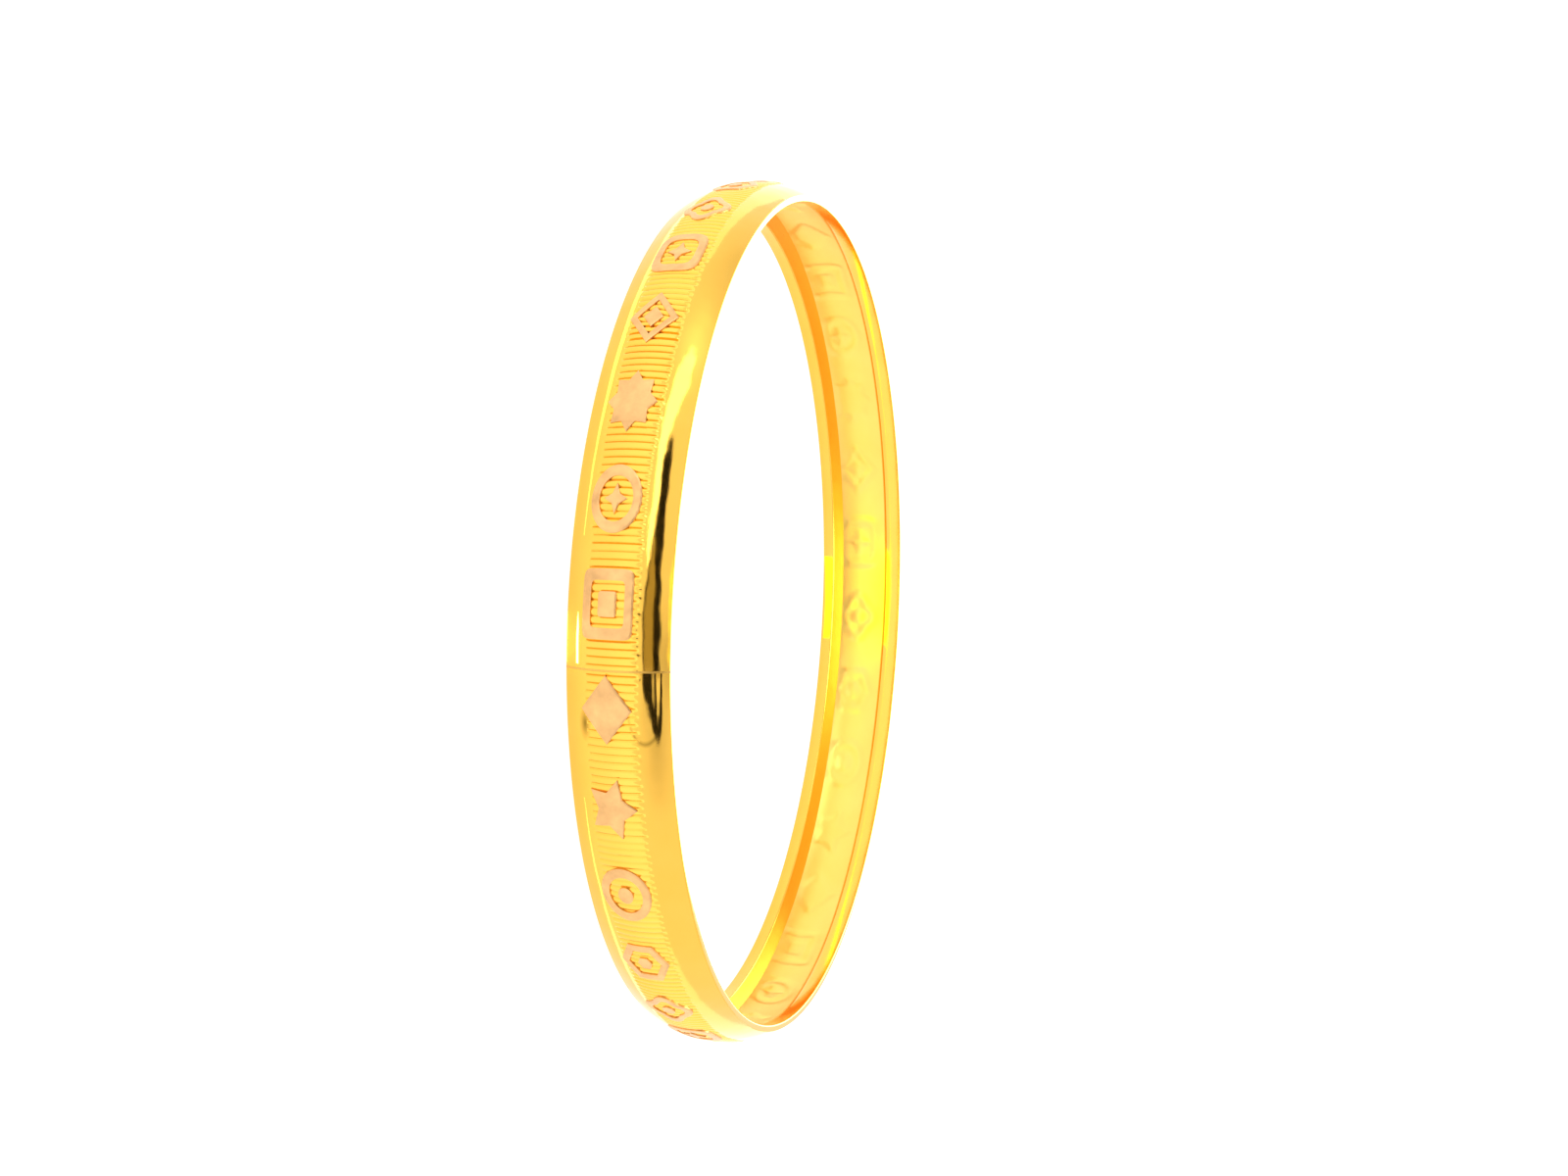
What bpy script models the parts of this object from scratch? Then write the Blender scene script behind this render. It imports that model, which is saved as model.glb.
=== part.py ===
"""A rigid bangle of pressed sheet metal, lying flat on its lower rim.

A thin domed strip is bent into a ring. An edge ring of drawn wire is soldered
inside each edge of it, so the back of the strip stays open as a shallow channel.
One soldered joint, straight across the width, closes the strip and both rings.

The axis of the bangle is +Z, and the origin is the middle of the circle that the
lower rim rests on.
"""

import math

import bmesh
import bpy

MM = 0.001

# Driving dimensions, in millimetres.
INNER_RADIUS = 28.60
CROWN_RADIUS = 29.90
WIDTH = 6.50
DOME_DROP = 0.90
DOME_POWER = 2.2
SHEET_THICKNESS = 0.25
FEATHER_THICKNESS = 0.03
FEATHER_LENGTH = 0.30
LIP_WIDTH = 0.84
CHANNEL_WIDTH = 3.40
RIM_BEVEL = 0.05
FIT_GAP = 0.02
JOINT_WIDTH = 0.14
JOINT_ANGLE = math.radians(-82.5)

# How finely the round shapes are cut.
TURN_STEPS = 96
DOME_STEPS = 12
SEAT_STEPS = 3

HALF_WIDTH = WIDTH / 2
STRIP_EDGE = HALF_WIDTH - RIM_BEVEL
SEAT_TOP = STRIP_EDGE - FEATHER_LENGTH
LIP_EDGE = HALF_WIDTH - LIP_WIDTH
CHANNEL_EDGE = CHANNEL_WIDTH / 2
CUTTER_MARGIN = 2.0
SHARP_ANGLE = math.radians(35)

# Colour, roughness and metallic value of each part.
STRIP_FINISH = ((0.86, 0.55, 0.10, 1), 0.16, 1.0)
EDGE_RING_FINISH = ((0.89, 0.60, 0.16, 1), 0.12, 1.0)
SOLDER_FINISH = ((0.78, 0.50, 0.14, 1), 0.30, 1.0)


def dome(height):
    """Radius of the strip's outer face, at a height from the middle of the width."""
    share = abs(height) / HALF_WIDTH
    return CROWN_RADIUS - DOME_DROP * share**DOME_POWER


def back(height):
    """Radius of the strip's inner face, at a height from the middle of the width."""
    return dome(height) - SHEET_THICKNESS


def spaced(start, end, steps):
    return [start + (end - start) * step / steps for step in range(steps + 1)]


def mirrored(points):
    """The same run of (radius, height) points on the lower half, in running order."""
    return [(radius, -height) for radius, height in reversed(points)]


def strip_section():
    """The domed strip: down its outer face, then up its inner face.

    Each edge is filed to a feather, so that the end of the edge ring makes the rim.
    """
    outer = [(dome(z), z) for z in spaced(STRIP_EDGE, -STRIP_EDGE, DOME_STEPS)]
    seat = [(back(z), z) for z in spaced(CHANNEL_EDGE, SEAT_TOP, SEAT_STEPS)]
    inner = seat + [(dome(STRIP_EDGE) - FEATHER_THICKNESS, STRIP_EDGE)]
    return outer + mirrored(inner) + [(back(0), 0)] + inner


def upper_ring_section():
    """The upper edge ring: down its seat against the strip, then up its channel wall and lip."""
    rim = dome(STRIP_EDGE) - FEATHER_THICKNESS - FIT_GAP
    seat = [(back(z) - FIT_GAP, z) for z in spaced(SEAT_TOP, CHANNEL_EDGE, SEAT_STEPS)]
    lip = [(INNER_RADIUS, LIP_EDGE), (INNER_RADIUS, STRIP_EDGE)]
    end = [(INNER_RADIUS + RIM_BEVEL, HALF_WIDTH), (rim - RIM_BEVEL, HALF_WIDTH)]
    return [(rim, STRIP_EDGE)] + seat + lip + end


def joint_section():
    """The solder in the closing joint: the outline of the strip and both rings together."""
    face = [(dome(z), z) for z in spaced(STRIP_EDGE, -STRIP_EDGE, DOME_STEPS)]
    upper = [
        (back(CHANNEL_EDGE), CHANNEL_EDGE),
        (INNER_RADIUS, LIP_EDGE),
        (INNER_RADIUS, STRIP_EDGE),
        (INNER_RADIUS + RIM_BEVEL, HALF_WIDTH),
        (dome(STRIP_EDGE) - RIM_BEVEL, HALF_WIDTH),
    ]
    return face + mirrored(upper) + [(back(0), 0)] + upper


def clear_scene():
    for thing in list(bpy.data.objects):
        bpy.data.objects.remove(thing, do_unlink=True)


def new_collection(name):
    collection = bpy.data.collections.new(name)
    bpy.context.scene.collection.children.link(collection)
    return collection


def new_material(name, finish):
    color, roughness, metallic = finish
    material = bpy.data.materials.new(name)
    material.use_nodes = True
    shader = material.node_tree.nodes["Principled BSDF"]
    shader.inputs["Base Color"].default_value = color
    shader.inputs["Roughness"].default_value = roughness
    shader.inputs["Metallic"].default_value = metallic
    return material


def outline_object(name, section, filled, collection):
    """An object whose mesh is a closed outline in the XZ plane, at mid width."""
    mesh = bpy.data.meshes.new(name)
    outline = bmesh.new()
    corners = [outline.verts.new((r * MM, 0, z * MM)) for r, z in section]
    if filled:
        outline.faces.new(corners)
    else:
        for start, end in zip(corners, corners[1:] + corners[:1]):
            outline.edges.new((start, end))
    outline.to_mesh(mesh)
    outline.free()
    thing = bpy.data.objects.new(name, mesh)
    thing.location.z = HALF_WIDTH * MM
    collection.objects.link(thing)
    return thing


def add_turned_ring(name, section, material, cutter, collection):
    """Turns a section once round the axis and saws the closing joint through it."""
    ring = outline_object(name, section, False, collection)
    screw = ring.modifiers.new("turn", "SCREW")
    screw.axis = "Z"
    screw.steps = TURN_STEPS
    screw.render_steps = TURN_STEPS
    screw.use_merge_vertices = True
    screw.merge_threshold = 0.000001
    screw.use_smooth_shade = True
    saw_cut = ring.modifiers.new("saw_cut", "BOOLEAN")
    saw_cut.operation = "DIFFERENCE"
    saw_cut.solver = "EXACT"
    saw_cut.object = cutter
    ring.data.materials.append(material)
    return ring


def add_joint_cutter(collection):
    """A saw blade as wide as the closing joint, standing in its plane."""
    depth = CROWN_RADIUS - INNER_RADIUS + 2 * CUTTER_MARGIN
    middle = (CROWN_RADIUS + INNER_RADIUS) / 2
    bpy.ops.mesh.primitive_cube_add(size=1)
    blade = bpy.context.object
    blade.name = "joint_cutter"
    blade.location = (
        middle * math.cos(JOINT_ANGLE) * MM,
        middle * math.sin(JOINT_ANGLE) * MM,
        HALF_WIDTH * MM,
    )
    blade.rotation_euler.z = JOINT_ANGLE
    blade.scale = (depth * MM, JOINT_WIDTH * MM, (WIDTH + 2 * CUTTER_MARGIN) * MM)
    blade.hide_render = True
    blade.display_type = "WIRE"
    for holder in list(blade.users_collection):
        holder.objects.unlink(blade)
    collection.objects.link(blade)
    return blade


def add_closing_joint(material, collection):
    """The thin web of solder that fills the saw cut, from the lips to the outer face."""
    joint = outline_object("closing_joint", joint_section(), True, collection)
    joint.rotation_euler.z = JOINT_ANGLE
    web = joint.modifiers.new("web", "SOLIDIFY")
    web.thickness = (JOINT_WIDTH - 2 * FIT_GAP) * MM
    web.offset = 0
    joint.data.materials.append(material)
    return joint


def build():
    clear_scene()
    parts = new_collection("bangle_bracelet")
    cutters = new_collection("cutters")
    cutter = add_joint_cutter(cutters)

    strip_material = new_material("strip_gold", STRIP_FINISH)
    ring_material = new_material("edge_ring_gold", EDGE_RING_FINISH)
    solder_material = new_material("solder", SOLDER_FINISH)

    upper_section = upper_ring_section()
    lower_section = mirrored(upper_section)
    add_turned_ring("face_strip", strip_section(), strip_material, cutter, parts)
    add_turned_ring("upper_edge_ring", upper_section, ring_material, cutter, parts)
    add_turned_ring("lower_edge_ring", lower_section, ring_material, cutter, parts)
    add_closing_joint(solder_material, parts)


build()
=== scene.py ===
import math

import bpy
import numpy as np
from mathutils import Matrix, Vector


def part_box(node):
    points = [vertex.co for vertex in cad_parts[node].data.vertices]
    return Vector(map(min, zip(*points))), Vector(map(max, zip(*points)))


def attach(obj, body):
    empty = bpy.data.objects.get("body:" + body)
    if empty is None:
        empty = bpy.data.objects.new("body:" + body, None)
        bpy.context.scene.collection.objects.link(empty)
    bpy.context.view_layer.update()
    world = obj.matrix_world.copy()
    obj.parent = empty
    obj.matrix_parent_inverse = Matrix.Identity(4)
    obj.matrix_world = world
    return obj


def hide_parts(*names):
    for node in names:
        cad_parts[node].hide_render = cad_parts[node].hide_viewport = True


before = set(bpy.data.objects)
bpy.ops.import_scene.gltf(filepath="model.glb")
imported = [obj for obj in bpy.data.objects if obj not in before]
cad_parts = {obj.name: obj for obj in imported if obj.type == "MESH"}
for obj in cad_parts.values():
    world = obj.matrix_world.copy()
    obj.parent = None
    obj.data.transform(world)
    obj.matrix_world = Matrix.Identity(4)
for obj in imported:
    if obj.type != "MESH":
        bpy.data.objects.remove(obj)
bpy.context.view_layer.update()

# The face strip is thin gold sheet, pressed flat between dies with fine cross ribs
# along its middle, then bent round. The motifs raised on its face show soft and
# reversed on its back, between the two edge rings.

MM = 0.001
strip_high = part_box("face_strip")[1]
crown_radius = strip_high.x
half_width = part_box("upper_edge_ring")[1].z / 2
strip_edge = strip_high.z - half_width

DOME_DROP = 0.90 * MM
DOME_POWER = 2.2
SHEET = 0.25 * MM
FEATHER = 0.03 * MM
FEATHER_LENGTH = 0.30 * MM
CHANNEL_EDGE = 1.70 * MM
SOLDER_GAP = 0.004 * MM
JOINT_ANGLE = math.radians(7.5)
JOINT_WIDTH = 0.14 * MM
half_slot = (JOINT_WIDTH / 2 - SOLDER_GAP) / crown_radius

MOTIF_COUNT = 30
MOTIF_PITCH = math.tau / MOTIF_COUNT
MOTIF_MIDDLE = -0.45 * MM
MOTIF_HALF_LENGTH = 2.08 * MM
MOTIF_HALF_HEIGHT = 1.60 * MM
MOTIF_SIZE = (MOTIF_HALF_LENGTH + MOTIF_HALF_HEIGHT) / 2
MOTIF_STROKE = 0.60 * MM
RELIEF_DEPTH = 0.07 * MM
RELIEF_SOFTNESS = 0.50 * MM

RIBS_PER_MOTIF = 13
RIB_COUNT = MOTIF_COUNT * RIBS_PER_MOTIF
RIB_PITCH = math.tau / RIB_COUNT
COLUMNS_PER_RIB = 4
RIB_MIDDLE = -0.20 * MM
RIB_END = 1.72 * MM
RIB_END_SOFTNESS = 0.20 * MM
GROOVE_DEPTH = 0.085 * MM
GROOVE_HALF_SHARE = 0.20
RIB_CROWN = 0.035 * MM

# No two ribs are quite alike: the range of depths, and how far an end strays in millimetres.
RIB_SEED = 7
RIB_DEPTHS = (0.75, 1.2)
RIB_END_STRAY = 0.07
# Where the ribs are pressed deeper, and where they are worn: middle, spread, change of depth.
UNEVEN_RIBS = (
    (math.radians(-31), math.radians(11), 1.2),
    (math.radians(35), math.radians(16), -0.5),
)

# Rows of points across the strip. They stand close together where the ribs end.
SHOULDER_ROWS = (15, 7)
BAND_ROWS = 5
RIB_END_ROWS = np.array([0.06, 0.0, -0.08, -0.16, -0.26]) * MM
ROWS_ABOVE_RIB_END = 0.16 * MM
ROWS_BELOW_RIB_END = 0.65 * MM
SEAT_ROWS = 4
FLOOR_ROWS = 15

# The face was finished by hand. Each wave has a strength, a number round the ring, a slant
# across the width and a start.
WAVINESS = 0.004 * MM
WAVES = ((1, 7, 900, 0.6), (0.7, 17, -1500, 2.1), (0.4, 31, 2100, 4.0))
# The strip is pressed in a little beside the closing joint: offsets at these heights.
DENT_LENGTH = 4.9 * MM
DENT_HEIGHTS = np.array([0.8, 1.25, 1.6, 1.75, 1.9, 2.1, 2.3, 2.5, 2.72, 3.2]) * MM
DENT_OFFSETS = np.array([0, 30, 38, 23, 2, -19, -32, -50, -12, 0]) * 0.001 * MM


def smoothstep(low, high, value):
    share = np.clip((value - low) / (high - low), 0, 1)
    return share * share * (3 - 2 * share)


def dome(height):
    """Radius of the outer face at a height from the middle of the width."""
    return crown_radius - DOME_DROP * (np.abs(height) / half_width) ** DOME_POWER


def face(angle, height):
    """Radius of the outer face as finished by hand: slightly wavy, and dented at the joint."""
    waves = sum(
        strength * np.sin(count * angle + slant * height + start)
        for strength, count, slant, start in WAVES
    )
    past_joint = (angle - JOINT_ANGLE) * crown_radius / DENT_LENGTH
    dent = np.interp(height, DENT_HEIGHTS, DENT_OFFSETS) * (past_joint > 0)
    return dome(height) + WAVINESS * waves + dent * (1 - smoothstep(0, 1, past_joint))


def start_piece():
    """Nothing is selected and no object is being edited when a piece is begun."""
    if bpy.context.object and bpy.context.object.mode != "OBJECT":
        bpy.ops.object.mode_set(mode="OBJECT")
    bpy.ops.object.select_all(action="DESELECT")


def apply_modifiers(piece):
    bpy.context.view_layer.objects.active = piece
    for modifier in list(piece.modifiers):
        bpy.ops.object.modifier_apply(modifier=modifier.name)


def turn_faces_outwards():
    """Works on the active piece."""
    bpy.ops.object.mode_set(mode="EDIT")
    bpy.ops.mesh.select_all(action="SELECT")
    bpy.ops.mesh.normals_make_consistent(inside=False)
    bpy.ops.object.mode_set(mode="OBJECT")


def smooth(piece, crease):
    """Shades a piece smooth, except at edges sharper than the crease, in degrees."""
    start_piece()
    piece.select_set(True)
    bpy.context.view_layer.objects.active = piece
    bpy.ops.object.shade_smooth_by_angle(angle=math.radians(crease))


def close_ends(piece, section_count):
    """Fills the first and the last loop of an open turned piece."""
    count = len(piece.data.vertices)
    for first in (0, count - section_count):
        bpy.ops.object.mode_set(mode="EDIT")
        bpy.ops.mesh.select_mode(type="VERT")
        bpy.ops.mesh.select_all(action="DESELECT")
        bpy.ops.object.mode_set(mode="OBJECT")
        for vertex in piece.data.vertices[first:first + section_count]:
            vertex.select = True
        bpy.ops.object.mode_set(mode="EDIT")
        bpy.ops.mesh.edge_face_add()
        bpy.ops.object.mode_set(mode="OBJECT")


def turned(name, section, steps):
    """A closed section of (radius, height) points, turned once round from joint to joint."""
    first_angle, last_angle = JOINT_ANGLE + half_slot, JOINT_ANGLE + math.tau - half_slot
    start_piece()
    bpy.ops.mesh.primitive_circle_add(vertices=len(section), radius=1)
    piece = bpy.context.object
    piece.name = name
    piece.data.name = name
    for vertex, (radius, height) in zip(piece.data.vertices, section):
        vertex.co = (radius * math.sin(first_angle), -radius * math.cos(first_angle), height)
    screw = piece.modifiers.new("turn", "SCREW")
    screw.axis = "Z"
    screw.angle = last_angle - first_angle
    screw.steps = steps
    screw.render_steps = steps
    apply_modifiers(piece)
    close_ends(piece, len(section))
    turn_faces_outwards()
    return piece


def read_round(piece):
    """Angle from the front, radius and height of every vertex."""
    points = np.empty(len(piece.data.vertices) * 3)
    piece.data.vertices.foreach_get("co", points)
    x, y, z = points.reshape(-1, 3).T
    return np.arctan2(x, -y), np.hypot(x, y), z


def write_round(piece, angle, radius, height):
    points = np.stack([radius * np.sin(angle), -radius * np.cos(angle), height], 1)
    piece.data.vertices.foreach_set("co", points.ravel())
    piece.data.update()


# Each motif is an outline round its middle, filled or drawn as a frame, with an island
# inside it or none. An outline gives its reach in every direction, where 1 is the
# size of the motif.

def oval(corner_power):
    """An ellipse at 2, a lozenge at 1, and a rectangle with rounded corners above."""
    def outline(turn):
        return (np.abs(np.cos(turn)) ** corner_power + np.abs(np.sin(turn)) ** corner_power) ** (
            -1 / corner_power
        )
    return outline


def pointed(tips, notch):
    """Straight runs between tips, which reach 1, and the notches between them."""
    half = math.pi / tips

    def outline(turn):
        off_tip = np.abs(np.mod(turn - math.pi / 2 + half, 2 * half) - half)
        return notch * math.sin(half) / (notch * np.sin(half - off_tip) + np.sin(off_tip))
    return outline


def petals(turn):
    return 0.88 + 0.12 * np.cos(4 * turn)


FRAME, SOLID = True, False
NO_ISLAND = (None, 0)
MOTIFS = (
    (oval(9), FRAME, (oval(9), 0.36)),
    (oval(1), SOLID, NO_ISLAND),
    (pointed(5, 0.55), SOLID, NO_ISLAND),
    (oval(2), FRAME, (oval(2), 0.30)),
    (pointed(6, 0.866), FRAME, (pointed(6, 0.866), 0.30)),
    (petals, FRAME, (oval(2), 0.26)),
    (oval(4), FRAME, (pointed(4, 0.45), 0.50)),
    (oval(1), FRAME, (oval(1), 0.40)),
    (pointed(8, 0.72), SOLID, NO_ISLAND),
    (oval(2), FRAME, (pointed(4, 0.45), 0.46)),
)


def relief(angle, height):
    """How far the pressed motifs push out the back of the strip, from 0 to 1."""
    number = np.round(angle / MOTIF_PITCH).astype(int)
    along = (angle - number * MOTIF_PITCH) * crown_radius / MOTIF_HALF_LENGTH
    across = (height - MOTIF_MIDDLE) / MOTIF_HALF_HEIGHT
    reach, turn = np.hypot(along, across), np.arctan2(across, along)
    push = np.zeros_like(angle)
    for design, (outline, is_frame, (island, island_size)) in enumerate(MOTIFS):
        here = number % len(MOTIFS) == design

        def within(edge):
            inside_by = (edge - reach[here]) * MOTIF_SIZE
            return smoothstep(-RELIEF_SOFTNESS / 2, RELIEF_SOFTNESS / 2, inside_by)

        edge = outline(turn[here])
        push[here] = within(edge)
        if is_frame:
            push[here] -= within(edge - MOTIF_STROKE / MOTIF_SIZE)
            push[here] += within(island(turn[here]) * island_size)
    return push


def strip_section():
    """Points (radius, height) down the outer face and up the back, and how many are outer."""
    top, bottom = RIB_MIDDLE + RIB_END, RIB_MIDDLE - RIB_END
    down = np.concatenate([
        np.linspace(strip_edge, top + ROWS_ABOVE_RIB_END, SHOULDER_ROWS[0]),
        top + RIB_END_ROWS,
        np.linspace(top - ROWS_BELOW_RIB_END, bottom + ROWS_BELOW_RIB_END, BAND_ROWS),
        bottom - RIB_END_ROWS[::-1],
        np.linspace(bottom - ROWS_ABOVE_RIB_END, -strip_edge, SHOULDER_ROWS[1]),
    ])
    seat = np.linspace(strip_edge - FEATHER_LENGTH, CHANNEL_EDGE, SEAT_ROWS)
    floor = np.linspace(CHANNEL_EDGE, -CHANNEL_EDGE, FLOOR_ROWS)
    up = np.concatenate([seat[:-1], floor, -seat[-2::-1]])[::-1]
    feather = dome(strip_edge) - FEATHER
    back = [(feather, -strip_edge)] + [(dome(z) - SHEET, z) for z in up] + [(feather, strip_edge)]
    return [(dome(z), z) for z in down] + back, len(down)


section, outer_count = strip_section()
face_strip = turned("pressed_face_strip", section, RIB_COUNT * COLUMNS_PER_RIB)
angle, radius, height = read_round(face_strip)
is_outer = np.arange(len(angle)) % len(section) < outer_count

# Ribs: narrow grooves between broad rounded tops. Of the four columns of points to a
# rib, the first is the bottom of a groove and the third is the crown.
column = np.arange(len(angle)) // len(section) + COLUMNS_PER_RIB // 2
quarter = column % COLUMNS_PER_RIB
rib_number = column // COLUMNS_PER_RIB % RIB_COUNT
random = np.random.default_rng(RIB_SEED)
rib_depth = random.uniform(*RIB_DEPTHS, RIB_COUNT)[rib_number]
from_front = np.mod(angle + math.pi, math.tau) - math.pi
evenness = 1
for middle, spread, change in UNEVEN_RIBS:
    evenness = evenness + change * np.exp(-(((from_front - middle) / spread) ** 2))
stray = random.uniform(-RIB_END_STRAY, RIB_END_STRAY, (2, RIB_COUNT)) * MM
off_middle = height - RIB_MIDDLE
rib_end = RIB_END + np.where(off_middle > 0, stray[0][rib_number], stray[1][rib_number])
ribbed = is_outer * smoothstep(0, RIB_END_SOFTNESS, rib_end - np.abs(off_middle))
rise = np.select(
    [quarter == 0, quarter == 2], [-GROOVE_DEPTH * (rib_depth * evenness), RIB_CROWN], 0.0
)
narrowing = 1 / COLUMNS_PER_RIB - GROOVE_HALF_SHARE
shift = np.select([quarter == 1, quarter == 3], [-narrowing, narrowing], 0.0)
pushed_out = ~is_outer * (np.abs(height) < CHANNEL_EDGE) * relief(angle, height) * RELIEF_DEPTH
radius = np.where(is_outer, face(angle, height), radius) + ribbed * rise + pushed_out
write_round(face_strip, angle + is_outer * shift * RIB_PITCH, radius, height + half_width)
smooth(face_strip, 50)


class Value:
    """A socket that takes part in Python expressions: each operator adds a Math node."""

    def __init__(self, nodes, socket):
        self.nodes = nodes
        self.socket = socket

    def _math(self, operation, *values):
        return self.nodes.node("ShaderNodeMath", {"operation": operation}, dict(enumerate(values)))

    def __add__(self, other):
        return self._math("ADD", self, other)

    def __radd__(self, other):
        return self._math("ADD", other, self)

    def __sub__(self, other):
        return self._math("SUBTRACT", self, other)

    def __rsub__(self, other):
        return self._math("SUBTRACT", other, self)

    def __mul__(self, other):
        return self._math("MULTIPLY", self, other)

    def __rmul__(self, other):
        return self._math("MULTIPLY", other, self)

    def __truediv__(self, other):
        return self._math("DIVIDE", self, other)

    def __abs__(self):
        return self._math("ABSOLUTE", self)

    def __pow__(self, other):
        return self._math("POWER", self, other)

    def clipped(self):
        return self.nodes.node("ShaderNodeClamp", {}, {0: self})


class Nodes:
    """The nodes of a material or world. A node takes its settings, then values or links."""

    def __init__(self, owner):
        self.owner = owner
        owner.use_nodes = True
        self.tree = owner.node_tree

    @property
    def shader(self):
        return self.tree.nodes["Principled BSDF"]

    def node(self, kind, settings, sockets, output=0):
        made = self.tree.nodes.new(kind)
        for setting, value in settings.items():
            setattr(made, setting, value)
        for socket, value in sockets.items():
            self.feed(made.inputs[socket], value)
        return Value(self, made.outputs[output])

    def feed(self, socket, value):
        if isinstance(value, Value):
            self.tree.links.new(value.socket, socket)
        else:
            socket.default_value = value

    def place(self):
        """Object coordinates in millimetres."""
        coords = self.node("ShaderNodeTexCoord", {}, {}, "Object")
        return self.node("ShaderNodeMapping", {}, {0: coords, "Scale": (1 / MM, 1 / MM, 1 / MM)})

    def round_axes(self):
        """Length along the strip, distance from the origin, and height, in millimetres."""
        coords = self.place()
        split = self.tree.nodes.new("ShaderNodeSeparateXYZ")
        self.feed(split.inputs[0], coords)
        x, y, z = (Value(self, split.outputs[i]) for i in range(3))
        turn = self.node("ShaderNodeMath", {"operation": "ARCTAN2"}, {0: x, 1: 0 - y})
        reach = self.node("ShaderNodeVectorMath", {"operation": "LENGTH"}, {0: coords}, "Value")
        return turn * (crown_radius / MM), reach, z

    def round_place(self):
        return self.node("ShaderNodeCombineXYZ", {}, dict(enumerate(self.round_axes())))

    def noise(self, place, scale, detail, roughness):
        return self.node(
            "ShaderNodeTexNoise", {},
            {0: place, "Scale": scale, "Detail": detail, "Roughness": roughness},
        )

    def mix(self, share, first, second):
        """Passes from the first colour to the second."""
        return self.node("ShaderNodeMix", {"data_type": "RGBA"}, {0: share, 6: first, 7: second}, 2)

    def bump(self, height, distance, normal=None):
        sockets = {"Strength": 1, "Distance": distance, "Height": height}
        if normal:
            sockets["Normal"] = normal
        return self.node("ShaderNodeBump", {}, sockets)


# Dark marks painted into the face colour beside the closing joint: a thin dark outline round
# the dent, painted shade for the dent's edge mirroring dark, and a dark patch below it. Angle in
# degrees, height from mid width, half length and half height in millimetres, how dark, and
# whether only the edge is darkened.
DENT_EDGE_SHADE_AND_DARK_PATCH = (
    (11.8, 1.85, 2.15, 0.95, 0.55, True),
    (13.8, -1.88, 1.15, 0.42, 0.85, False),
)
PAINTED_DARK = (0.16, 0.10, 0.008, 1)
EDGE_OF_PAINTED_DARK = 0.11
START_OF_EDGE = 0.3


# Mixes the painted dark marks into the colour: the dent's outline is painted shade, and the patch is
# plain darkening.
def painted_dark_marks(made, shade, dark_marks):
    along, _, height = made.round_axes()
    for angle, middle, half_length, half_height, strength, only_edge in dark_marks:
        from_middle = along - math.radians(angle) * crown_radius / MM
        off_middle = height - half_width / MM - middle
        reach = ((from_middle / half_length) ** 2 + (off_middle / half_height) ** 2) ** 0.5
        if only_edge:
            edge = (1 - abs(reach - 1) / EDGE_OF_PAINTED_DARK).clipped()
            mask = edge * (from_middle / half_length + START_OF_EDGE).clipped()
        else:
            mask = (1 - reach).clipped()
        shade = made.mix(mask * strength, shade, PAINTED_DARK)
    return shade


DEEPER_TONE = (0.95, 0.95, 0.85)
PALER_TONE = (1.04, 1.04, 1.2)
SHARE_OF_LINES = 0.6


def toned(color, change):
    return (*[min(channel * factor, 1) for channel, factor in zip(color, change)], 1)


def gold(name, color, roughness, unevenness, scratches, waviness, dark_marks=()):
    """Gold with slow changes of tone, fine polishing lines round the strip, and a wavy skin."""
    made = Nodes(bpy.data.materials.new(name))
    place = made.place()
    round_place = made.round_place()
    tone = made.noise(place, 0.35, 3, 0.55)
    shade = made.mix(tone, toned(color, DEEPER_TONE), toned(color, PALER_TONE))
    made.feed(made.shader.inputs["Base Color"], painted_dark_marks(made, shade, dark_marks))
    made.shader.inputs["Metallic"].default_value = 1
    lines = made.node("ShaderNodeMapping", {}, {0: round_place, "Scale": (0.25, 3, 26)})
    lines = made.noise(lines, 1, 4, 0.7)
    haze = made.noise(place, 1.1, 5, 0.6)
    made.feed(
        made.shader.inputs["Roughness"],
        roughness + unevenness * (haze - 0.5) + unevenness * SHARE_OF_LINES * (lines - 0.5),
    )
    wave = made.noise(place, 0.45, 1.5, 0.4)
    wavy = made.bump(wave, waviness * MM)
    made.feed(made.shader.inputs["Normal"], made.bump(lines, scratches * MM, wavy))
    return made.owner


# Colour, roughness and its unevenness, then depth of scratches and of waves in millimetres.
POLISHED_GOLD = (1.0, 0.553, 0.084)
polished = gold("polished_gold", POLISHED_GOLD, 0.07, 0.08, 0.0009, 0.02)
# The face gold carries the painted dark outline of the joint dent and the dark patch below it.
face_strip.data.materials.append(
    gold("strip_gold", POLISHED_GOLD, 0.07, 0.08, 0.0009, 0.035, DENT_EDGE_SHADE_AND_DARK_PATCH)
)
# The back is satin, and its paler, yellower copy of the gold is painted light that brightens the
# inside.
face_strip.data.materials.append(
    gold("strip_back_painted_light_gold", (1.0, 0.63, 0.135), 0.33, 0.12, 0.0015, 0.02)
)
# The grooves get a darker copy of the face gold: painted shade in the recesses.
face_strip.data.materials.append(
    gold("groove_painted_shade_gold", (0.92, 0.51, 0.072), 0.22, 0.10, 0.0015, 0.02)
)
FACE, BACK, GROOVE = range(3)
points = np.stack([is_outer, quarter == 0, ribbed > 0.5], 1)
for polygon in face_strip.data.polygons:
    outside, in_groove, on_ribs = points[list(polygon.vertices)].T
    if not outside.all():
        polygon.material_index = BACK
    else:
        polygon.material_index = GROOVE if in_groove.any() and on_ribs.all() else FACE
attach(face_strip, "root")
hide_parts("face_strip")


# The motifs are flat-topped shapes pressed up between the ribs from the same sheet.
# The die leaves their tops satin and their edges bright. They are plain geometric
# figures, thirty round the bangle.

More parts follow.
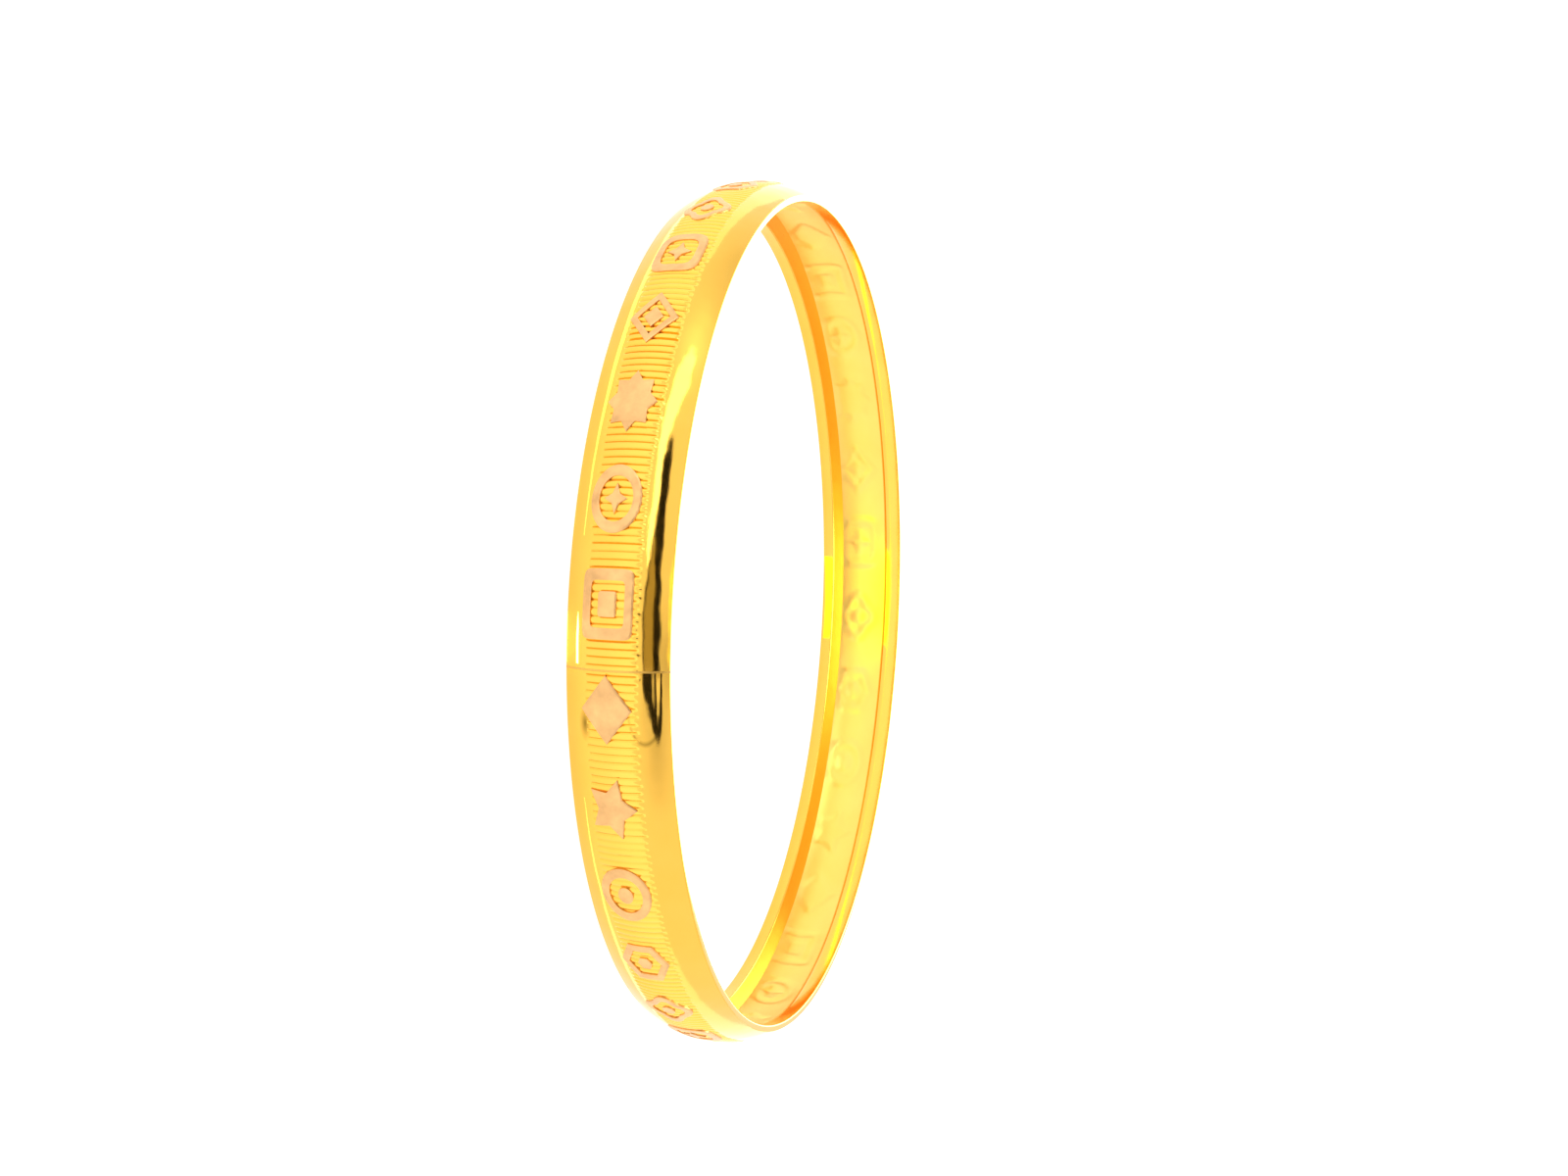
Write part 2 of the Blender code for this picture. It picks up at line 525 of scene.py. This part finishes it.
MOTIF_RISE = 0.12 * MM
MOTIF_FOOT = 0.06 * MM
MOTIF_CHAMFER_HEIGHT = 0.03 * MM
MOTIF_CHAMFER_WIDTH = 0.11 * MM
STROKE_SHARE = MOTIF_STROKE / MOTIF_SIZE
CHAMFER_SHARE = MOTIF_CHAMFER_WIDTH / MOTIF_SIZE
OUTLINE_POINTS = 120
CUT_SPACING = 0.4 * MM
FLAT_ENOUGH = 0.99


def outline_loop(outline, size, fill_type):
    start_piece()
    bpy.ops.mesh.primitive_circle_add(vertices=OUTLINE_POINTS, radius=1, fill_type=fill_type)
    loop = bpy.context.object
    for vertex in loop.data.vertices:
        turn = math.atan2(vertex.co.y, vertex.co.x)
        reach = size * float(outline(np.array(turn)))
        vertex.co = (
            reach * math.cos(turn) * MOTIF_HALF_LENGTH,
            reach * math.sin(turn) * MOTIF_HALF_HEIGHT,
            0,
        )
    return loop


def join(first, *others):
    start_piece()
    for piece in (first, *others):
        piece.select_set(True)
    bpy.context.view_layer.objects.active = first
    bpy.ops.object.join()
    return first


def figure(outline, size, is_frame):
    """A solid or a frame standing on the XY plane, its upper edges chamfered."""
    if is_frame:
        outer = outline_loop(outline, size, "NOTHING")
        piece = join(outer, outline_loop(outline, size - STROKE_SHARE, "NOTHING"))
    else:
        piece = outline_loop(outline, size, "NGON")
    bpy.ops.object.mode_set(mode="EDIT")
    bpy.ops.mesh.select_mode(type="EDGE")
    bpy.ops.mesh.select_all(action="SELECT")
    if is_frame:
        bpy.ops.mesh.bridge_edge_loops()
    bpy.ops.mesh.select_mode(type="FACE")
    bpy.ops.mesh.select_all(action="SELECT")
    for height in (MOTIF_RISE + MOTIF_FOOT - MOTIF_CHAMFER_HEIGHT, MOTIF_CHAMFER_HEIGHT):
        bpy.ops.mesh.extrude_region_move(TRANSFORM_OT_translate={"value": (0, 0, height)})
    bpy.ops.object.mode_set(mode="OBJECT")
    for vertex in piece.data.vertices:
        if vertex.select:
            across, up = vertex.co.x / MOTIF_HALF_LENGTH, vertex.co.y / MOTIF_HALF_HEIGHT
            reach = math.hypot(across, up)
            edge = size * float(outline(np.array(math.atan2(up, across))))
            on_inside = is_frame and reach < (1 - STROKE_SHARE / 2) * edge
            shift = 1 + (CHAMFER_SHARE if on_inside else -CHAMFER_SHARE) / reach
            vertex.co.x *= shift
            vertex.co.y *= shift
    return piece


def raised_motif(outline, is_frame, island):
    """One motif standing on the XY plane, cut across both ways so that it can be bent."""
    piece = figure(outline, 1, is_frame)
    if island[0]:
        join(piece, figure(*island, False))
    bpy.ops.object.mode_set(mode="EDIT")
    for reach, normal in ((MOTIF_HALF_LENGTH, (1, 0, 0)), (MOTIF_HALF_HEIGHT, (0, 1, 0))):
        for place in np.arange(-reach + CUT_SPACING / 2, reach, CUT_SPACING):
            bpy.ops.mesh.select_all(action="SELECT")
            bpy.ops.mesh.bisect(plane_co=Vector(normal) * place, plane_no=normal)
    turn_faces_outwards()
    for polygon in piece.data.polygons:
        polygon.material_index = 0 if polygon.normal.z > FLAT_ENOUGH else 1
    return piece


designs = [raised_motif(*motif) for motif in MOTIFS]
copies = []
for number in range(MOTIF_COUNT):
    design = designs[number % len(designs)]
    copy = design.copy()
    copy.data = design.data.copy()
    bpy.context.scene.collection.objects.link(copy)
    points = np.empty(len(copy.data.vertices) * 3)
    copy.data.vertices.foreach_get("co", points)
    along, across, up = points.reshape(-1, 3).T
    angle, height = number * MOTIF_PITCH + along / crown_radius, across + MOTIF_MIDDLE
    write_round(copy, angle, face(angle, height) + up - MOTIF_FOOT, height + half_width)
    copies.append(copy)
start_piece()
for design in designs:
    bpy.data.objects.remove(design)
motifs = join(*copies)
motifs.name = "raised_motifs"
turn_faces_outwards()
smooth(motifs, 10)

DULL_TONE = (0.82, 0.82, 0.82)
RUBBED_TONE = (1.2, 1.2, 1.2)
TONE_CONTRAST = 2.4
GRAIN_DEPTH = 0.004 * MM
RIB_LINES = 1.5
TONE_ROUGHNESS = 0.18
GRAIN_ROUGHNESS = 0.1
# At scale 1 the wave texture passes through this many radians in one unit of length.
WAVE_RADIANS = 20


def satin_gold(name, color, roughness):
    """Gold left matt by the die: an even grain, a rosier tone, rubbed brighter in places."""
    made = Nodes(bpy.data.materials.new(name))
    place = made.place()
    round_place = made.round_place()
    tone = made.noise(place, 0.8, 4, 0.6)
    rubbed = (TONE_CONTRAST * (tone - 0.5) + 0.5).clipped()
    shade = made.mix(rubbed, toned(color, DULL_TONE), toned(color, RUBBED_TONE))
    made.feed(made.shader.inputs["Base Color"], shade)
    made.shader.inputs["Metallic"].default_value = 1
    grain = made.noise(place, 16, 3, 0.6)
    made.feed(
        made.shader.inputs["Roughness"],
        roughness + TONE_ROUGHNESS * (tone - 0.5) + GRAIN_ROUGHNESS * (grain - 0.5),
    )
    rib_waves = math.tau / WAVE_RADIANS / (RIB_PITCH * crown_radius / MM)
    lines = made.node(
        "ShaderNodeTexWave", {}, {0: round_place, "Scale": rib_waves, "Distortion": 0.6}
    )
    made.feed(made.shader.inputs["Normal"], made.bump(grain + lines * RIB_LINES, GRAIN_DEPTH))
    return made.owner


motifs.data.materials.append(satin_gold("satin_motif_gold", (0.76, 0.435, 0.175), 0.36))
motifs.data.materials.append(polished)
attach(motifs, "root")


# The edge rings are drawn gold wire, bent round and soldered inside the edges of
# the strip. Each gives the bangle a flat rim, a flat lip to the wrist and the
# sloping wall of the channel. They are polished with the rest.

RIM_ROUNDING = 0.07 * MM
LIP_ROUNDING = 0.06 * MM
FACE_ROUNDING = 0.05 * MM
RIM_FOOT_DROP = 0.02 * MM
WALL_FOOT = 1.76 * MM
WALL_MARGIN = 0.04 * MM
LIP_WIDTH = 0.84 * MM
BACK_STEPS = 5
CORNER_STEPS = 4
WALL_STEPS = 10
RING_STEPS = 540
# How far the bend of a channel wall lies towards the lip's radius and the lip's height.
ROUND_WALL = (0.92, 0.10)
STRAIGHT_WALL = (0.44, 0.52)
ring_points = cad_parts["upper_edge_ring"].data.vertices
inner_radius = min(math.hypot(v.co.x, v.co.y) for v in ring_points)
lip_edge = half_width - LIP_WIDTH


def rounded(corner, before, after, size=math.inf, steps=CORNER_STEPS):
    """A curve in place of a corner. It starts and ends the given size away, or at the next points."""
    corner, before, after = (np.array(p) for p in (corner, before, after))
    start = corner + (before - corner) * min(1, size / np.linalg.norm(before - corner))
    end = corner + (after - corner) * min(1, size / np.linalg.norm(after - corner))
    shares = np.linspace(0, 1, steps + 1)
    return [tuple(start * (1 - s) ** 2 + corner * 2 * s * (1 - s) + end * s**2) for s in shares]


def ring_section(wall_bend):
    """The upper edge ring's section, from the seat under the strip round to the lip."""
    rim_outer = dome(strip_edge) - FEATHER - SOLDER_GAP
    seat = np.linspace(strip_edge - FEATHER_LENGTH, WALL_FOOT, BACK_STEPS)
    back = [(dome(z) - SHEET - SOLDER_GAP, z) for z in seat]
    tip, lip = back[-1], (inner_radius, lip_edge)
    towards_lip, towards_rim = wall_bend
    bend = (
        towards_lip * lip[0] + (1 - towards_lip) * tip[0],
        towards_rim * lip[1] + (1 - towards_rim) * tip[1],
    )
    wall = rounded(bend, tip, lip, steps=WALL_STEPS)[1:-1]
    inner_corner, outer_corner = (inner_radius, half_width), (rim_outer + FEATHER, half_width)
    rim_foot = (rim_outer, strip_edge - RIM_FOOT_DROP)
    return (
        [rim_foot] + back + wall
        + rounded(lip, wall[-1], inner_corner, LIP_ROUNDING)
        + rounded(inner_corner, lip, outer_corner, RIM_ROUNDING)
        + rounded(outer_corner, inner_corner, rim_foot, FACE_ROUNDING)
    )


def edge_ring(name, sign, wall_bend):
    section = [(radius, sign * height) for radius, height in ring_section(wall_bend)]
    ring = turned(name, section, RING_STEPS)
    angle, radius, height = read_round(ring)
    write_round(ring, angle, radius, height + half_width)
    smooth(ring, 30)
    return ring


# The lower ring's channel wall gets a deeper orange, rougher copy of the gold: painted shade. The
# upper ring's wall keeps the rim's gold.
lower_wall_shaded_gold = gold("channel_lower_wall_shaded_gold", (0.98, 0.41, 0.022), 0.30, 0.10, 0.0015, 0.012)
edge_gold = gold("edge_ring_gold", (0.99, 0.53, 0.082), 0.09, 0.08, 0.0014, 0.012)
for side, sign, wall_bend in (("upper", 1, ROUND_WALL), ("lower", -1, STRAIGHT_WALL)):
    ring = edge_ring(f"{side}_edge_wire", sign, wall_bend)
    ring.data.materials.append(edge_gold)
    ring.data.materials.append(lower_wall_shaded_gold if side == "lower" else edge_gold)
    for polygon in ring.data.polygons:
        middle = polygon.center
        on_wall = WALL_FOOT < abs(middle.z - half_width) < lip_edge - WALL_MARGIN
        faces_wrist = polygon.normal.x * middle.x + polygon.normal.y * middle.y < 0
        polygon.material_index = 1 if on_wall and faces_wrist else 0
    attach(ring, "root")
    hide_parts(f"{side}_edge_ring")


# The closing joint is a thin web of gold solder, straight across the strip and
# both rings, filed flush and a shade duller than they are.

JOINT_ROWS = 41
JOINT_FLOOR_ROWS = 7
JOINT_FLOOR_HALF_WIDTH = 1.2
RIM_BEVELS = (0.02 * MM, 0.05 * MM)


def joint_outline():
    heights = np.linspace(strip_edge, -strip_edge, JOINT_ROWS)
    down = [(face(JOINT_ANGLE, z) + SOLDER_GAP, z) for z in heights]
    rim = [
        (dome(strip_edge) - RIM_BEVELS[0], half_width),
        (inner_radius + RIM_BEVELS[1], half_width),
        (inner_radius, strip_edge),
        (inner_radius, lip_edge),
        (dome(CHANNEL_EDGE) - SHEET, CHANNEL_EDGE),
    ]
    across = np.linspace(-JOINT_FLOOR_HALF_WIDTH, JOINT_FLOOR_HALF_WIDTH, JOINT_FLOOR_ROWS) * MM
    floor = [(dome(z) - SHEET, z) for z in across]
    lower = [(radius, -height) for radius, height in rim]
    return down + lower + floor + rim[::-1]


start_piece()
outline = joint_outline()
bpy.ops.mesh.primitive_circle_add(vertices=len(outline), radius=1, fill_type="NGON")
joint = bpy.context.object
joint.name = "closing_solder"
for vertex, (radius, height) in zip(joint.data.vertices, outline):
    vertex.co = (0, -radius, height + half_width)
web = joint.modifiers.new("web", "SOLIDIFY")
web.thickness = JOINT_WIDTH - SOLDER_GAP
web.offset = 0
apply_modifiers(joint)
joint.data.transform(Matrix.Rotation(JOINT_ANGLE, 4, "Z"))
turn_faces_outwards()
joint.data.materials.append(gold("solder_gold", (0.74, 0.42, 0.085), 0.28, 0.12, 0.003, 0.01))
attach(joint, "root")
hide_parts("closing_joint")


# The light table is a matt white sheet, lit from below. It stands in a white room, a
# little brighter on one side and darker in four places, with a soft lamp far behind
# on the left and another overhead.

TABLE_SIZE = 6
TABLE_DROP = 0.02 * MM
WHITE = (1, 1, 1)


def painted(name, shade, roughness, specular, color, radiance):
    """A matt surface of its own shade, which also gives off light."""
    paint = Nodes(bpy.data.materials.new(name))
    paint.shader.inputs["Base Color"].default_value = (*shade, 1)
    paint.shader.inputs["Roughness"].default_value = roughness
    paint.shader.inputs["Specular IOR Level"].default_value = specular
    paint.shader.inputs["Emission Color"].default_value = (*color, 1)
    paint.shader.inputs["Emission Strength"].default_value = radiance
    return paint.owner


start_piece()
bpy.ops.mesh.primitive_plane_add(size=TABLE_SIZE, location=(0, 0, -TABLE_DROP))
floor = bpy.context.object
floor.name = "light_table"
floor.data.materials.append(painted("light_table", (0.35, 0.35, 0.35), 0.9, 0.1, WHITE, 0.85))


def from_bangle(azimuth, elevation, distance):
    """A place seen from the bangle at an azimuth, counted from the front towards +X."""
    turn, rise = math.radians(azimuth), math.radians(elevation)
    return distance * Vector(
        (math.sin(turn) * math.cos(rise), -math.cos(turn) * math.cos(rise), math.sin(rise))
    )


ROOM = 1.18
# Azimuth and elevation, how much brighter than the room, and how narrow.
GLOWS = (
    (-72, 19, 0.40, 45),
    (-104, 24, -0.25, 20),
    (38, 25, -0.35, 40),
    (0, 41, -0.10, 12),
    (17, 40, -0.36, 70),
)
world = bpy.data.worlds.new("white_room")
bpy.context.scene.world = world
room = Nodes(world)
direction = room.node("ShaderNodeTexCoord", {}, {}, "Generated")
brightness = Value(room, room.node("ShaderNodeValue", {}, {}).socket)
brightness.socket.default_value = ROOM
for azimuth, elevation, extra, narrowness in GLOWS:
    towards = room.node(
        "ShaderNodeVectorMath", {"operation": "DOT_PRODUCT"},
        {0: direction, 1: from_bangle(azimuth, elevation, 1)}, "Value",
    )
    ahead = room.node("ShaderNodeMath", {"operation": "MAXIMUM"}, {0: towards, 1: 0.0})
    brightness = brightness + ahead ** narrowness * extra
background = world.node_tree.nodes["Background"]
background.inputs["Color"].default_value = (*WHITE, 1)
room.feed(background.inputs["Strength"], brightness)


def soft_lamp(name, azimuth, elevation, distance, size, radiance):
    """A square lamp aimed at the bangle."""
    data = bpy.data.lights.new(name, "AREA")
    data.size = size
    data.energy = radiance * math.pi * size**2
    lamp = bpy.data.objects.new(name, data)
    lamp.location = from_bangle(azimuth, elevation, distance)
    lamp.rotation_euler = lamp.location.to_track_quat("Z", "Y").to_euler()
    bpy.context.scene.collection.objects.link(lamp)


soft_lamp("back_left_lamp", -163, 24, 1.0, 0.9, 4.0)
soft_lamp("overhead_lamp", 0, 89, 1.0, 0.5, 6.0)


# The cards stand behind the camera, where the polished shoulder mirrors them as a dark
# streak and bright lines. Three narrow strips stand close to the lower edge, and a patch
# of gathered light lies on the table inside the bangle.

BLACK, OLIVE = (0.010, 0.009, 0.008), (0.26, 0.23, 0.13)
CARD_STEPS = 120
PATCH_STEPS = 40
PATCH_HEIGHT = 0.02


def grid(name, across, along):
    start_piece()
    bpy.ops.mesh.primitive_grid_add(x_subdivisions=across, y_subdivisions=along, size=1)
    bpy.context.object.name = name
    return bpy.context.object


def only_mirrored(card, shade, color, radiance):
    """Paints a card that is seen in the polished gold and nowhere else."""
    card.visible_camera = False
    card.visible_shadow = False
    card.visible_diffuse = False
    card.data.materials.append(painted(card.name, shade, 1, 0, color, radiance))


def studio_card(name, distance, corners, shade, radiance=0, color=WHITE):
    """A card curved round the bangle. Corners are (azimuth, low, high) from left to right."""
    card = grid(name, CARD_STEPS, 1)
    azimuths, lows, highs = zip(*corners)
    for vertex in card.data.vertices:
        azimuth = azimuths[0] + (azimuths[-1] - azimuths[0]) * (vertex.co.x + 0.5)
        edge = lows if vertex.co.y < 0 else highs
        vertex.co = from_bangle(azimuth, float(np.interp(azimuth, azimuths, edge)), distance)
    only_mirrored(card, shade, color, radiance)


def light_on_table(name, ends, color, radiance):
    """Light that the bangle gathers on the table. Ends are (y, first x, last x) in millimetres."""
    patch = grid(name, 1, PATCH_STEPS)
    for vertex in patch.data.vertices:
        across, along = vertex.co.x + 0.5, vertex.co.y + 0.5
        y, first, last = np.array(ends[0]) * (1 - along) + np.array(ends[1]) * along
        vertex.co = Vector((first + (last - first) * across, y, PATCH_HEIGHT)) * MM
    only_mirrored(patch, (0, 0, 0), color, radiance)


studio_card("black_card", 0.45, (
    (-43, 21.5, 23), (-38, 16.2, 26), (-27, 17.2, 27), (-16, 20, 28.3), (-8, 22.5, 29),
    (0, 23.5, 30.2), (9, 24.5, 32), (16.5, 24.5, 32), (17.5, 23, 29.5), (30, 23, 29.5),
    (34, 25, 27.5),
), BLACK)
studio_card("olive_card_edge", 0.46, ((-19, 18.5, 20), (-9, 13.2, 15.2), (17, 12.6, 14.2)), BLACK)
studio_card("olive_card", 0.47, ((-18, 19.5, 21), (-9, 14.5, 24), (17, 14, 27)), OLIVE)
studio_card("white_card", 0.48, (
    (-68, 17, 22), (-60, 10, 24), (-52, 9, 21), (-42, 9.5, 17.5), (-10, 12.5, 17),
), WHITE, 1.5)
studio_card("yellow_card", 0.49, ((-14, 40, 44.5), (16, 40, 44.5)), BLACK, 1.8, (1, 1, 0.33))
studio_card("bright_strip", 0.0297, ((1, 0.25, 0.35), (3, 0.03, 0.85), (7.1, 0.03, 0.85)), WHITE, 12)
studio_card("left_strip", 0.0298, ((-70, 0.03, 1.5), (-34, 0.03, 1.6), (-8, 0.03, 0.3)), WHITE, 1.55)
studio_card("right_strip", 0.0298, ((24, 0.03, 0.3), (50, 0.03, 1.4), (74, 0.03, 1.4)), WHITE, 1.45)
light_on_table("gathered_light", ((28.1, 1.9, -4.8), (6.5, -0.8, 2.3)), (1.0, 0.95, 0.12), 2.7)


# The camera looks a little down on the bangle and is turned on its side, so that
# the bangle, which lies flat, stands upright in the picture.

CAMERA_DISTANCE = 5.4774 * crown_radius
ELEVATION = 0.2905
PAN, TILT, ROLL = 0.0106, 0.0094, 1.6184
LENS = 53.18
SENSOR_WIDTH = 36
NEAREST = 0.005
camera_data = bpy.data.cameras.new("camera")
camera_data.sensor_width = SENSOR_WIDTH
camera_data.lens = LENS
camera_data.clip_start = NEAREST
camera = bpy.data.objects.new("camera", camera_data)
bpy.context.scene.collection.objects.link(camera)
away = Vector((0, -math.cos(ELEVATION), math.sin(ELEVATION)))
camera.location = away * CAMERA_DISTANCE + Vector((0, 0, half_width))
look = Matrix.Rotation(math.pi / 2 - ELEVATION, 4, "X")
turn = Matrix.Rotation(PAN, 4, "Y") @ Matrix.Rotation(TILT, 4, "X") @ Matrix.Rotation(ROLL, 4, "Z")
camera.rotation_euler = (look @ turn).to_euler()
bpy.context.scene.camera = camera
bpy.context.scene.view_settings.view_transform = "Standard"
